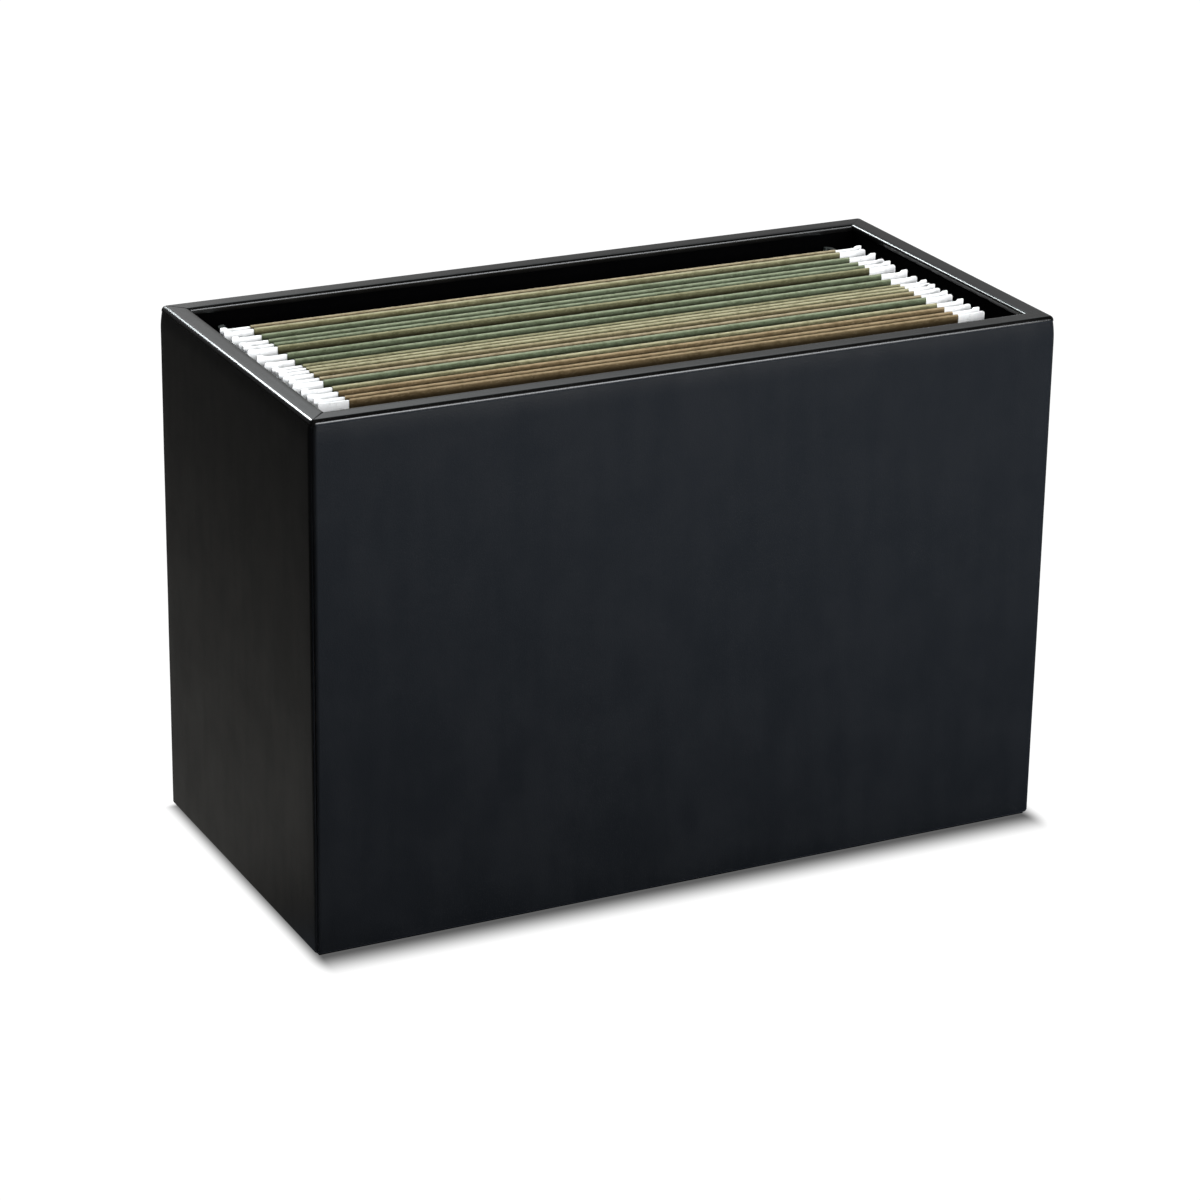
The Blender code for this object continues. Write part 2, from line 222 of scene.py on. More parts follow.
def thicken(ob, thickness):
    """Gives an open sheet its thickness, behind its face, with crisp edges."""
    shell = ob.modifiers.new("thickness", "SOLIDIFY")
    shell.thickness = thickness
    shell.offset = -1
    shell.use_even_offset = True
    graph = bpy.context.evaluated_depsgraph_get()
    solid = bpy.data.meshes.new_from_object(ob.evaluated_get(graph))
    ob.modifiers.clear()
    sheet = ob.data
    ob.data = solid
    bpy.data.meshes.remove(sheet)
    smooth(solid, 50)


def wander(x, y, z, size, seed=0.0):
    """Smooth noise from -1 to 1 that changes over about size."""
    return noise.noise(Vector((x / size + seed, y / size - seed, z / size + 0.7 * seed)))


# Materials

RANGE_KEYS = ("From Min", "From Max", "To Min", "To Max")


class Shader:
    """A procedural Principled material. Numbers that are the same all over are set on the
    sockets."""

    def __init__(self, name, **sockets):
        self.material = bpy.data.materials.new(name)
        self.material.use_nodes = True
        self.tree = self.material.node_tree
        self.out = self.tree.nodes["Principled BSDF"]
        for socket, value in sockets.items():
            self.put(socket.replace("_", " "), value)
        self.place = self.add("ShaderNodeTexCoord").outputs["Object"]

    def put(self, socket, value):
        self.fill(self.out.inputs[socket], value)

    def fill(self, socket, value):
        if isinstance(value, bpy.types.NodeSocket):
            self.tree.links.new(value, socket)
        elif socket.type == "RGBA":
            socket.default_value = (*value, 1.0)
        else:
            socket.default_value = value

    def add(self, kind, inputs=(), **settings):
        node = self.tree.nodes.new(kind)
        for name, value in settings.items():
            setattr(node, name, value)
        for key, value in dict(inputs).items():
            self.fill(node.inputs[key], value)
        return node

    def noise(self, size, detail=2.0, rough=0.5, stretch=None):
        """Noise from 0 to 1 whose features are about size across. Stretch scales its place."""
        at = self.place
        if stretch:
            at = self.add("ShaderNodeMapping", {"Vector": at, "Scale": stretch}).outputs[0]
        inputs = {"Vector": at, "Scale": 1 / size, "Detail": detail, "Roughness": rough}
        return self.add("ShaderNodeTexNoise", inputs).outputs["Fac"]

    def cells(self, size, feature="F1"):
        inputs = {"Vector": self.place, "Scale": 1 / size}
        return self.add("ShaderNodeTexVoronoi", inputs, feature=feature).outputs["Distance"]

    def ramp(self, value, low, high, to_low=0.0, to_high=1.0):
        inputs = dict(zip(RANGE_KEYS, (low, high, to_low, to_high)), Value=value)
        node = self.add("ShaderNodeMapRange", inputs, interpolation_type="SMOOTHSTEP")
        return node.outputs[0]

    def math(self, operation, a, b=0.0):
        return self.add("ShaderNodeMath", {0: a, 1: b}, operation=operation).outputs[0]

    def mix(self, share, a, b):
        inputs = {"Factor": share, 6: a, 7: b}
        return self.add("ShaderNodeMix", inputs, data_type="RGBA").outputs[2]

    def axis(self, name):
        return self.add("ShaderNodeSeparateXYZ", {0: self.place}).outputs[name]

    def bump(self, height, distance, strength, after=None):
        inputs = {"Height": height, "Distance": distance, "Strength": strength}
        if after:
            inputs["Normal"] = after
        normal = self.add("ShaderNodeBump", inputs).outputs[0]
        self.put("Normal", normal)
        return normal


def shaded(colour, shares):
    return tuple(share * part for share, part in zip(shares, colour))


def leather_material(name, dark, light, roughness, specular, grain, swelling):
    """Fine-grained coated leather: small pebbles with creases between them, faint mottling, and
    sparse paler specks where the coating is thin."""
    s = Shader(name, Specular_IOR_Level=specular)
    pebbles = s.cells(0.75 * MM, "SMOOTH_F1")
    creases = s.cells(1.15 * MM, "DISTANCE_TO_EDGE")
    pores = s.noise(0.35 * MM, 3.0, 0.6)
    patches = s.noise(26 * MM, 3.0, 0.55)
    streaks = s.noise(9 * MM, 2.0, 0.5, stretch=(1, 1, 0.18))
    mottle = s.math("ADD", s.math("MULTIPLY", patches, 0.6), s.math("MULTIPLY", streaks, 0.4))
    tone = s.mix(s.ramp(mottle, 0.35, 0.65), dark, light)
    speck = s.ramp(pores, 0.70, 0.80)
    worn = s.mix(s.math("MULTIPLY", speck, 0.25), tone, tuple(3 * c + 0.004 for c in light))
    s.put("Base Color", worn)
    rough = s.ramp(mottle, 0.3, 0.7, roughness - 0.03, roughness + 0.04)
    fine = s.ramp(pores, 0.3, 0.7, -0.03, 0.03)
    s.put("Roughness", s.math("ADD", rough, fine))
    swell = s.bump(patches, swelling, 0.5)
    drawn = s.bump(streaks, 0.4 * swelling, 0.5, swell)
    grains = s.bump(pebbles, grain, 0.5, drawn)
    lines = s.bump(s.ramp(creases, 0.0, 0.12), grain * 0.6, 0.4, grains)
    s.bump(pores, grain * 0.5, 0.5, lines)
    return s.material


def felt_material(name):
    """Black needle felt: matted fibres that run every way, with a few paler ones."""
    s = Shader(name, Roughness=1.0, Specular_IOR_Level=0.02)
    long_way = s.noise(0.35 * MM, 3.0, 0.65, stretch=(0.25, 1, 1))
    cross_way = s.noise(0.35 * MM, 3.0, 0.65, stretch=(1, 1, 0.25))
    fibres = s.math("MAXIMUM", long_way, cross_way)
    clumps = s.noise(4 * MM, 3.0, 0.6)
    tone = s.mix(clumps, (0.0003, 0.0003, 0.0004), (0.0008, 0.0008, 0.0009))
    pale = s.ramp(s.noise(0.5 * MM, 2.0, 0.5), 0.70, 0.78)
    s.put("Base Color", s.mix(pale, tone, (0.004, 0.004, 0.005)))
    soft = s.bump(clumps, 0.25 * MM, 0.6)
    s.bump(fibres, 0.18 * MM, 0.9, soft)
    return s.material


def board_material(name):
    """Grey-brown fibreboard with pressed flakes. Its top and bottom edges are stained black."""
    s = Shader(name, Roughness=0.85, Specular_IOR_Level=0.25)
    flakes = s.cells(2.2 * MM)
    fibres = s.noise(0.8 * MM, 4.0, 0.65)
    tone = s.mix(s.ramp(flakes, 0.1, 0.7), (0.30, 0.20, 0.12), (0.19, 0.12, 0.068))
    tone = s.mix(s.math("MULTIPLY", fibres, 0.5), tone, (0.40, 0.29, 0.19))
    low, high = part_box("core_front")
    height = s.axis("Z")
    above = s.ramp(height, high.z - 4 * MM, high.z - 3 * MM)
    below = s.ramp(height, low.z + 3 * MM, low.z + 2 * MM)
    stained = s.math("MAXIMUM", above, below)
    s.put("Base Color", s.mix(stained, tone, (0.002, 0.002, 0.002)))
    s.bump(fibres, 0.15 * MM, 0.7)
    return s.material


def steel_material(name, colour, roughness, stretch, size):
    """Drawn steel with a thin passivation, fine scratches along its length and smudges."""
    s = Shader(name, Metallic=0.85)
    drawn = s.noise(size, 3.0, 0.6, stretch=stretch)
    smudges = s.noise(14 * MM, 3.0, 0.55)
    dull = shaded(colour, (0.6, 0.6, 0.6))
    s.put("Base Color", s.mix(s.ramp(smudges, 0.35, 0.7), colour, dull))
    rough = s.ramp(smudges, 0.3, 0.7, roughness - 0.06, roughness + 0.10)
    s.put("Roughness", s.math("ADD", rough, s.ramp(drawn, 0.3, 0.7, -0.05, 0.05)))
    s.bump(drawn, 0.03 * MM, 0.5)
    return s.material


def coating_material(name):
    """White plastic dipped over the hooks, scuffed grey round the notch that rides on the rail."""
    s = Shader(name, Roughness=0.36, Specular_IOR_Level=0.45)
    peel = s.noise(1.6 * MM, 2.0, 0.5)
    grime = s.noise(3.5 * MM, 4.0, 0.65)
    outward = s.math("ABSOLUTE", s.axis("X"))
    rail_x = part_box("rail_right")[1].x - HALF_RAIL
    off_rail = s.math("ABSOLUTE", s.math("SUBTRACT", outward, rail_x))
    near_rail = s.ramp(off_rail, 1.5 * MM, 4 * MM, 1.0, 0.0)
    scuff = s.math("MULTIPLY", near_rail, s.ramp(grime, 0.5, 0.7))
    tone = s.mix(s.ramp(grime, 0.3, 0.7), (0.90, 0.91, 0.92), (0.84, 0.85, 0.86))
    s.put("Base Color", s.mix(s.math("MULTIPLY", scuff, 0.3), tone, (0.30, 0.31, 0.31)))
    s.bump(peel, 0.015 * MM, 0.2)
    return s.material


def pressboard_material(name, main, fleck, drift):
    """Recycled pressboard: short matted fibres, pale and dark flecks, cloudy dye that drifts to
    another tone along the sheet, a painted highlight along the hem's top, broken up like wear,
    and a band of painted shade below it for the shadow in the gaps between the leaves."""
    s = Shader(name, Roughness=0.88, Specular_IOR_Level=0.08)
    clouds = s.noise(34 * MM, 3.0, 0.6, stretch=(0.5, 1, 1))
    mottle = s.noise(2.6 * MM, 4.0, 0.65, stretch=(0.6, 1, 1))
    fibres = s.noise(0.55 * MM, 3.0, 0.7, stretch=(0.35, 1, 1))
    specks = s.noise(0.9 * MM, 2.0, 0.5)
    along = s.ramp(s.axis("X"), -0.12, 0.10)
    cloudy = s.ramp(clouds, 0.35, 0.7, 0.0, 0.45)
    drifting = s.math("ADD", s.math("MULTIPLY", along, 0.55), cloudy)
    tone = s.mix(drifting, main, drift)
    deep = shaded(main, (0.42, 0.40, 0.30))
    tone = s.mix(s.ramp(mottle, 0.62, 0.30, 0.0, 0.58), tone, deep)
    tone = s.mix(s.ramp(fibres, 0.52, 0.72, 0.0, 0.65), tone, fleck)
    tone = s.mix(s.ramp(specks, 0.70, 0.76, 0.0, 0.7), tone, shaded(main, (0.25, 0.25, 0.25)))
    hem_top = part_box("folder_1_front_leaf")[1].z
    height = s.axis("Z")
    # Painted shade: a darker band below the hem's top stands in for the shadow that falls into the gaps between
    # the leaves.
    below_top = s.ramp(height, hem_top - 0.6 * MM, hem_top - 3.2 * MM, 0.0, 0.85)
    above_painted_shade_end = s.ramp(height, hem_top - 20 * MM, hem_top - 8 * MM)
    painted_gap_shade = s.math("MULTIPLY", below_top, above_painted_shade_end)
    tone = s.mix(painted_gap_shade, tone, shaded(main, (0.14, 0.12, 0.08)))
    # Painted highlight: the hem's top is made paler where light catches it, broken up by the mottle like wear.
    lit_and_worn_hem_top = s.ramp(height, hem_top - 0.9 * MM, hem_top - 0.15 * MM)
    lit_and_worn_hem_top = s.math("MULTIPLY", lit_and_worn_hem_top, s.ramp(mottle, 0.3, 0.6, 0.45, 0.9))
    s.put("Base Color", s.mix(lit_and_worn_hem_top, tone, shaded(fleck, (1.08, 1.08, 1.08))))
    coarse = s.bump(mottle, 0.10 * MM, 0.6)
    s.bump(fibres, 0.07 * MM, 0.8, coarse)
    return s.material


# Each pressboard's main colour, its pale fibres and the tone that it drifts to along the sheet
PRESSBOARDS = {
    "tan": ((0.120, 0.095, 0.053), (0.248, 0.212, 0.142), (0.114, 0.096, 0.055)),
    "beige": ((0.141, 0.134, 0.072), (0.270, 0.258, 0.168), (0.135, 0.133, 0.076)),
    "khaki": ((0.118, 0.099, 0.053), (0.232, 0.206, 0.130), (0.122, 0.109, 0.060)),
    "brown": ((0.118, 0.083, 0.042), (0.222, 0.172, 0.105), (0.118, 0.090, 0.048)),
    "olive": ((0.092, 0.090, 0.047), (0.190, 0.186, 0.115), (0.096, 0.098, 0.054)),
    "green": ((0.084, 0.104, 0.062), (0.176, 0.202, 0.138), (0.090, 0.112, 0.070)),
}

MATERIALS = {
    "leather": leather_material(
        "leather", (0.0012, 0.0014, 0.0018), (0.0022, 0.0025, 0.0031), roughness=0.38,
        specular=0.29, grain=0.045 * MM, swelling=0.12 * MM,
    ),
    "rim_leather": leather_material(
        "rim_leather", (0.0020, 0.0020, 0.0020), (0.0035, 0.0035, 0.0034), roughness=0.19,
        specular=0.40, grain=0.006 * MM, swelling=0.006 * MM,
    ),
    "felt": felt_material("felt"),
    "fibreboard": board_material("fibreboard"),
    "rail_steel": steel_material("rail_steel", (0.30, 0.34, 0.33), 0.34, (1, 0.04, 1), 0.3 * MM),
    "screw_steel": steel_material("screw_steel", (0.45, 0.45, 0.44), 0.28, (1, 1, 1), 0.4 * MM),
    "coated_rod": coating_material("coated_rod"),
}
for dye, colours in PRESSBOARDS.items():
    MATERIALS[f"pressboard_{dye}"] = pressboard_material(f"pressboard_{dye}", *colours)


def fit(ob, body, slot, *nodes):
    """Says what a piece rides on and which CAD nodes it stands for. The slot, what it is made of, is not used."""
    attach(ob, body)
    if nodes:
        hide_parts(*nodes)


# The leather outside


def ring_places(length, step):
    """Where a wall's columns lie: (angle, None) round half of each corner, and (None, share)
    along the straight."""
    count = max(2, round(length / step))
    first = [(225 + 45 * n / CORNER_STEPS, None) for n in range(CORNER_STEPS)]
    straight = [(None, n / count) for n in range(count + 1)]
    last = [(270 + 45 * (n + 1) / CORNER_STEPS, None) for n in range(CORNER_STEPS)]
    return first + straight + last


def ring_point(wall, place, inset, corner, gap):
    """A point (x, y) of a rounded rectangle, inset from the box's outline, on the stretch that
    belongs to one wall. The stretch stops short of the mitre lines by the gap."""
    turn, half, face = WALLS[wall]
    radius = max(corner - inset, 0.35 * MM)
    middle_x = half - inset - radius
    middle_y = -(face - inset - radius)
    angle, share = place
    if angle is None:
        x = middle_x * (2 * share - 1)
        y = middle_y - radius
    else:
        x = math.copysign(middle_x, angle - 270) + radius * math.cos(math.radians(angle))
        y = middle_y + radius * math.sin(math.radians(angle))
    limit = half - (face + y) - gap
    x = max(-limit, min(limit, x))
    return x, y, turn


def turned(x, y, z, turn):
    return (
        x * math.cos(turn) - y * math.sin(turn),
        x * math.sin(turn) + y * math.cos(turn),
        z,
    )


def cover_profile():
    """A cover's section, bottom to top, as (inset, height): turned under the board, straight, then
    leaning in below the rim."""
    under = COVER_BOTTOM - 0.12 * MM
    points = [(TURN_UNDER, under)]
    for n in range(7):
        angle = math.radians(90 * n / 6)
        inset = UNDER_ROLL * (1 - math.sin(angle))
        points.append((inset, under + UNDER_ROLL * (1 - math.cos(angle))))
    start = points[-1][1]
    shoulder = COVER_TOP - SHOULDER
    steps = 24
    points += [(0, start + (shoulder - start) * n / steps) for n in range(1, steps + 1)]
    for n in range(1, 9):
        share = n / 8
        lean = math.tan(SHOULDER_LEAN) * SHOULDER * share**2 / 2
        points.append((lean, shoulder + SHOULDER * share))
    return points


SHOULDER_INSET = cover_profile()[-1][0]


def make_cover(wall):
    """The leather on one wall's outside, from the seam in the middle of one upright corner to the
    seam in the next. It is pulled a little unevenly over the board."""
    places = ring_places(2 * WALLS[wall][1], 9 * MM)
    profile = cover_profile()
    middle = len(places) - 1

    def point(i, j):
        inset, height = profile[j]
        rise = height / TOP
        corner = CORNER_BOTTOM + (CORNER_TOP - CORNER_BOTTOM) * rise
        from_seam = min(i, middle - i) / CORNER_STEPS * corner * math.pi / 4
        if from_seam < SEAM_WIDTH:
            depth = SEAM_DEPTH * (1.25 - rise)
            inset += depth * (1 - from_seam / SEAM_WIDTH) ** 2
        x, y, turn = ring_point(wall, places[i], inset, corner + inset, SEAM_GAP)
        x, y, z = turned(x, y, height, turn)
        pull = 0.12 * wander(x, y, z, 70 * MM) + 0.03 * wander(x, y, z, 16 * MM, 5.0)
        pull *= min(1, max(0, (COVER_TOP - height) / SHOULDER))
        return x + math.sin(turn) * pull * MM, y - math.cos(turn) * pull * MM, z

    mesh = grid_mesh(f"cover_{wall}", len(places), len(profile), point)
    smooth(mesh, 50)
    ob = add_object(f"cover_{wall}", mesh, MATERIALS["leather"])
    face_out(ob)
    thicken(ob, LEATHER)
    fit(ob, "box", "leather", f"leather_{wall}")


def face_out(ob):
    """Turns an open sheet's normals away from the box's middle."""
    mesh = ob.data
    score = sum(
        p.normal.dot(Vector((p.center.x, p.center.y, 0))) * p.area for p in mesh.polygons
    )
    if score < 0:
        mesh.flip_normals()


def rim_section():
    """The rim's section as (inset, height), once round: over the top from the outer face to the
    inner one, down the leg and back underneath."""
    start = SHOULDER_INSET
    lean = math.degrees(SHOULDER_LEAN)
    points = [(start, RIM_UNDER)]
    for n in range(13):
        angle = math.radians((90 - lean) * (1 - n / 12))
        inset = start + RIM_ROLL * (math.cos(math.radians(lean)) - math.sin(angle))
        points.append((inset, TOP - RIM_ROLL + RIM_ROLL * math.cos(angle)))
    flat_start = points[-1][0]
    flat_end = WALL - RIM_INNER_ROLL
    points += [(flat_start + (flat_end - flat_start) * n / 4, TOP) for n in range(1, 4)]
    for n in range(7):
        angle = math.radians(90 * n / 6)
        inset = flat_end + RIM_INNER_ROLL * math.sin(angle)
        points.append((inset, TOP - RIM_INNER_ROLL * (1 - math.cos(angle))))
    foot = RIM_FOOT
    points += [(WALL, (TOP - RIM_INNER_ROLL + foot) / 2), (WALL, foot + 0.3 * MM)]
    points += [(WALL - 0.12 * MM, foot + 0.08 * MM), (WALL - 0.4 * MM, foot)]
    points += [(WALL - 0.8 * MM, foot + 0.1 * MM), (WALL - 0.85 * MM, RIM_UNDER)]
    return points


def make_rim(wall):
    """One leather strip of the rim. Its mitres stand open a hair at the inner corners on the left
    and are tight on the right."""
    places = ring_places(2 * WALLS[wall][1], 12 * MM)
    section = rim_section()

    def point(i, j):
        inset, height = section[j]
        x, y, turn = ring_point(wall, places[i], inset, CORNER_TOP, 0)
        open_left = turned(x, y, 0, turn)[0] < 0
        gap = MITRE_GAP * (0.1 + 0.9 * min(1, inset / WALL)) if open_left else 0.05 * MM
        x, y, turn = ring_point(wall, places[i], inset, CORNER_TOP, gap)
        x, y, z = turned(x, y, height, turn)
        if height > RIM_UNDER:
            z += 0.012 * MM * wander(x, y, 0, 40 * MM, 3.0)
        return x, y, min(z, TOP)

    mesh = grid_mesh(f"rim_strip_{wall}", len(places), len(section), point, ring=True)
    smooth(mesh, 40)
    ob = add_object(f"rim_strip_{wall}", mesh, MATERIALS["rim_leather"])
    fit(ob, "box", "rim_leather", f"rim_{wall}")


# The felt

def felt_sheet(name, low, high, axis, way):
    """A felt sheet between two corners, thin along one axis. Its face, on the side way, is uneven
    and its edges are soft."""
    across, up = [n for n in range(3) if n != axis]
    size = high - low
    columns = max(3, round(size[across] / (8 * MM)))
    rows = max(3, round(size[up] / (8 * MM)))
    surface = high[axis] if way > 0 else low[axis]

    def point(i, j):
        place = Vector((0, 0, 0))
        place[across] = low[across] + size[across] * i / (columns - 1)
        place[up] = low[up] + size[up] * j / (rows - 1)
        edge = min(i, columns - 1 - i, j, rows - 1 - j) == 0
        sink = 0.12 * MM + 0.08 * MM * wander(*place, 14 * MM, 2.0)
        place[axis] = surface - way * (sink + (0.12 * MM if edge else 0))
        return place

    mesh = grid_mesh(name, columns, rows, point)
    smooth(mesh, 60)
    ob = add_object(name, mesh, MATERIALS["felt"])
    normal = sum(p.normal[axis] * p.area for p in mesh.polygons)
    if normal * way < 0:
        mesh.flip_normals()
    thicken(ob, size[axis] - 0.25 * MM)
    return ob


def make_felt():
    for wall, axis, way in (("front", 1, 1), ("back", 1, -1), ("left", 0, 1), ("right", 0, -1)):
        node = f"lining_{wall}"
        low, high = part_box(node)
        low[1 - axis] -= FELT_REACH
        high[1 - axis] += FELT_REACH
        high.z = RIM_FOOT - 0.2 * MM
        ob = felt_sheet(f"felt_{wall}", low, high, axis, way)
        fit(ob, "box", "felt", node)
    board_low, board_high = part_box("base_board")
    low = Vector((board_low.x + 1 * MM, board_low.y + 1 * MM, board_high.z + 0.02 * MM))
    high = Vector((board_high.x - 1 * MM, board_high.y - 1 * MM, board_high.z + 1.1 * MM))
    fit(felt_sheet("felt_floor", low, high, 2, 1), "box", "felt")
    low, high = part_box("base_felt")
    fit(felt_sheet("felt_base", low, high, 2, -1), "box", "felt", "base_felt")


# The rails and their screws

def copy_of(node, name, material, edge):
    """The CAD piece's own shape with its edges rounded."""
    mesh = frame["nodes"][node].data.copy()
    mesh.materials.clear()
    bm = bmesh.new()
    bm.from_mesh(mesh)
    bmesh.ops.remove_doubles(bm, verts=bm.verts, dist=0.005 * MM)
    flat = math.radians(2)
    bmesh.ops.dissolve_limit(bm, angle_limit=flat, verts=bm.verts, edges=bm.edges)
    bm.to_mesh(mesh)
    bm.free()
    mesh.name = name
    ob = add_object(name, mesh, material)
    round_edges(ob, edge)
    return ob


def cross_cutter(radius, depth):
    """A tapered cross, point down, for a screw's recess."""
    bm = bmesh.new()
    for turn in (0, math.pi / 2):
        arm = bmesh.ops.create_cube(bm, size=1.0)["verts"]
        bmesh.ops.scale(bm, vec=(2 * radius, 0.42 * radius, 2 * depth), verts=arm)
        for vert in arm:
            if vert.co.z < 0:
                vert.co.x *= 0.35
                vert.co.y *= 0.6
        bmesh.ops.rotate(bm, matrix=Matrix.Rotation(turn, 3, "Z"), verts=arm)
    mesh = bpy.data.meshes.new("cross_cutter")
    bm.to_mesh(mesh)
    bm.free()
    ob = bpy.data.objects.new("cross_cutter", mesh)
    bpy.context.scene.collection.objects.link(ob)
    return ob


def screw_mesh(radius, tall, shank, length):
    """A pan-head screw, head up from the origin, with a cross recess."""
    profile = [(0, tall)]
    for n in range(1, 7):
        angle = math.radians(15 * n)
        profile.append((radius * math.sin(angle), tall * (0.45 + 0.55 * math.cos(angle))))
    profile += [(radius, 0.12 * tall), (0.96 * radius, 0), (shank, 0)]
    turns = 10
    pitch = 0.85 * length / turns
    for n in range(turns):
        z = -pitch * (n + 0.5)
        profile += [(shank * 0.86, z), (shank, z - 0.3 * pitch)]
    profile += [(0.75 * shank, -0.9 * length), (0, -length)]
    bm = bmesh.new()
    points = [bm.verts.new((x, 0, z)) for x, z in profile]
    edges = [bm.edges.new(pair) for pair in zip(points, points[1:])]
    bmesh.ops.spin(
        bm, geom=points + edges, axis=(0, 0, 1), cent=(0, 0, 0), angle=2 * math.pi,
        steps=28, use_merge=True,
    )
    bmesh.ops.remove_doubles(bm, verts=bm.verts, dist=0.002 * MM)
    bmesh.ops.recalc_face_normals(bm, faces=bm.faces)
    mesh = bpy.data.meshes.new("screw")
    bm.to_mesh(mesh)
    bm.free()
    whole = bpy.data.objects.new("screw", mesh)
    bpy.context.scene.collection.objects.link(whole)
    cutter = cross_cutter(0.5 * radius, 0.75 * tall)
    cutter.location.z = tall
    cut = whole.modifiers.new("recess", "BOOLEAN")
    cut.operation = "DIFFERENCE"
    cut.object = cutter
    cut.use_self = True
    graph = bpy.context.evaluated_depsgraph_get()
    result = bpy.data.meshes.new_from_object(whole.evaluated_get(graph))
    for ob in (whole, cutter):
        bpy.data.objects.remove(ob, do_unlink=True)
    return result


def make_rails():
    for hand in ("left", "right"):
        node = f"rail_{hand}"
        rail = copy_of(node, f"rail_bar_{hand}", MATERIALS["rail_steel"], 0.45 * MM)
        fit(rail, "box", "rail_steel", node)
    for side, turn in SCREW_TURNS.items():
        for hand in ("left", "right"):
            node = f"rail_screw_{side}_{hand}"
            low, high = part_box(node)
            radius = (high.x - low.x) / 2
            mesh = screw_mesh(radius, SCREW_HEAD, SCREW_SHANK, high.y - low.y - SCREW_HEAD)
            way = 1 if side == "front" else -1
            seat = (high.y if way > 0 else low.y) - way * SCREW_HEAD
            middle = (low + high) / 2
            place = Matrix.Translation((middle.x, seat, middle.z))
            place = place @ Matrix.Rotation(-way * math.pi / 2, 4, "X")
            place = place @ Matrix.Rotation(turn + middle.x * 9, 4, "Z")
            mesh.transform(place)
            smooth(mesh, 30)
            ob = add_object(f"rail_screw_{side}_{hand}_head", mesh, MATERIALS["screw_steel"])
            fit(ob, "box", "screw_steel", node)


# The folders

def hanger_outline(rail_x, rail_top, bar_low, bar_high, start, tip, lug, tip_round):
    """One end of a rod, seen from the front, as (x, z) outwards along the top and back: the bar,
    a hook plate notched over the rail, and a lug on its tip."""
    top = rail_top + HOOK_RISE
    crest = top + lug
    bottom = rail_top - HOOK_DROP
    crown = rail_top + 0.3 * MM
    return [
        (start - 1.2 * MM, bar_high, 0.6 * MM),
        (start + 0.2 * MM, top, 0.3 * MM),
        (tip - 3.9 * MM, top, 0.25 * MM),
        (tip - 2.7 * MM, crest, 0.25 * MM),
        (tip, crest, tip_round),
        (tip, bottom + 0.8 * MM, 0.5 * MM),
        (tip - 2.6 * MM, bottom + 0.8 * MM, 0.7 * MM),
        (rail_x + NOTCH, bottom + 2.6 * MM, 1.0 * MM),
        (rail_x + NOTCH, crown, 1.1 * MM),
        (rail_x - NOTCH, crown, 1.1 * MM),
        (rail_x - NOTCH, bottom, 0.8 * MM),
        (start, bottom, 0.4 * MM),
        (start, bar_low, 0.3 * MM),
    ]


def make_hanger(number, half, body):
    """The steel bar in a leaf's hem, with the coated hooks at its ends."""
    node = f"folder_{number}_{half}_rod"
    low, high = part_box(node)
    leaf_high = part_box(f"folder_{number}_{half}_leaf")[1]
    rail_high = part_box("rail_right")[1]
    rail_x = rail_high.x - HALF_RAIL
    rail_top = rail_high.z
    bar_high = leaf_high.z - 0.75 * MM
    bar_low = bar_high - BAR_HEIGHT
    start = leaf_high.x + 0.45 * MM
    lug, tip_round = LUGS[half]
    right = hanger_outline(rail_x, rail_top, bar_low, bar_high, start, high.x, lug, tip_round)
    left = [(-x, z, r) for x, z, r in reversed(right)]
    outline = fillet(right + left, 5)
    middle = (low.y + high.y) / 2
    to_world = Matrix.Translation((0, middle, 0)) @ Matrix.Rotation(math.pi / 2, 4, "X")
    name = f"folder_{number}_{half}_hanger"
    ob = plate(name, outline, BAR, MATERIALS["coated_rod"], to_world, 0.07 * MM)
    fit(ob, body, "coated_rod", node)


def leaf_path(across, height):
    """A leaf's outer surface from its end, as (out, up) from the fold: up the slanted sheet with
    its score lines, round the rod, and down inside to the end of the turned-back edge."""
    hem_top = height
    hem_low = hem_top - HEM_HEIGHT
    outside = across + HEM
    foot = 0.15 * MM + PAPER

    def sheet(z, depth=0.0):
        return foot + (outside - foot) * min(1, z / hem_low) - depth, z

    points = [(0.12 * MM, -0.34 * MM), (0.42 * MM, -0.22 * MM), (foot, 0.1 * MM)]
    for score in SCORE_HEIGHTS:
        for step in (-1, -0.5, 0, 0.5, 1):
            out, up = sheet(score + step * SCORE_WIDTH)
            points.append((out + SCORE_DEPTH * (1 - abs(step)), up))
    slots = []
    for drop in TAB_SLOT_DROPS:
        middle = hem_top - drop
        slots += [middle - TAB_SLOT_HEIGHT / 2, middle + TAB_SLOT_HEIGHT / 2]
    slots.sort()
    steps = 14
    first = SCORE_HEIGHTS[-1] + 3 * MM
    last = slots[0] - 3 * MM
    ups = [first + (last - first) * n / steps for n in range(steps + 1)]
    ups += slots
    ups += [(slots[1] + slots[2]) / 2]
    ups += [hem_low - 0.3 * MM, hem_low + 0.4 * MM, hem_top - 4 * MM]
    points += [sheet(up) for up in sorted(ups)]
    for n in range(9):
        angle = math.radians(180 * n / 8)
        points.append((across + HEM * math.cos(angle), hem_top - HEM * (1 - math.sin(angle))))
    points += [(across - HEM, hem_top - 4 * MM), (across - HEM, hem_low + 0.9 * MM)]
    layer = 2 * PAPER + 0.06 * MM
    end = hem_low - PAPER - HEM_TURN_BACK
    for up in (hem_low - 0.8 * MM, hem_low - 3 * MM, hem_low - 7 * MM, end):
        points.append(sheet(up, layer))
    return points


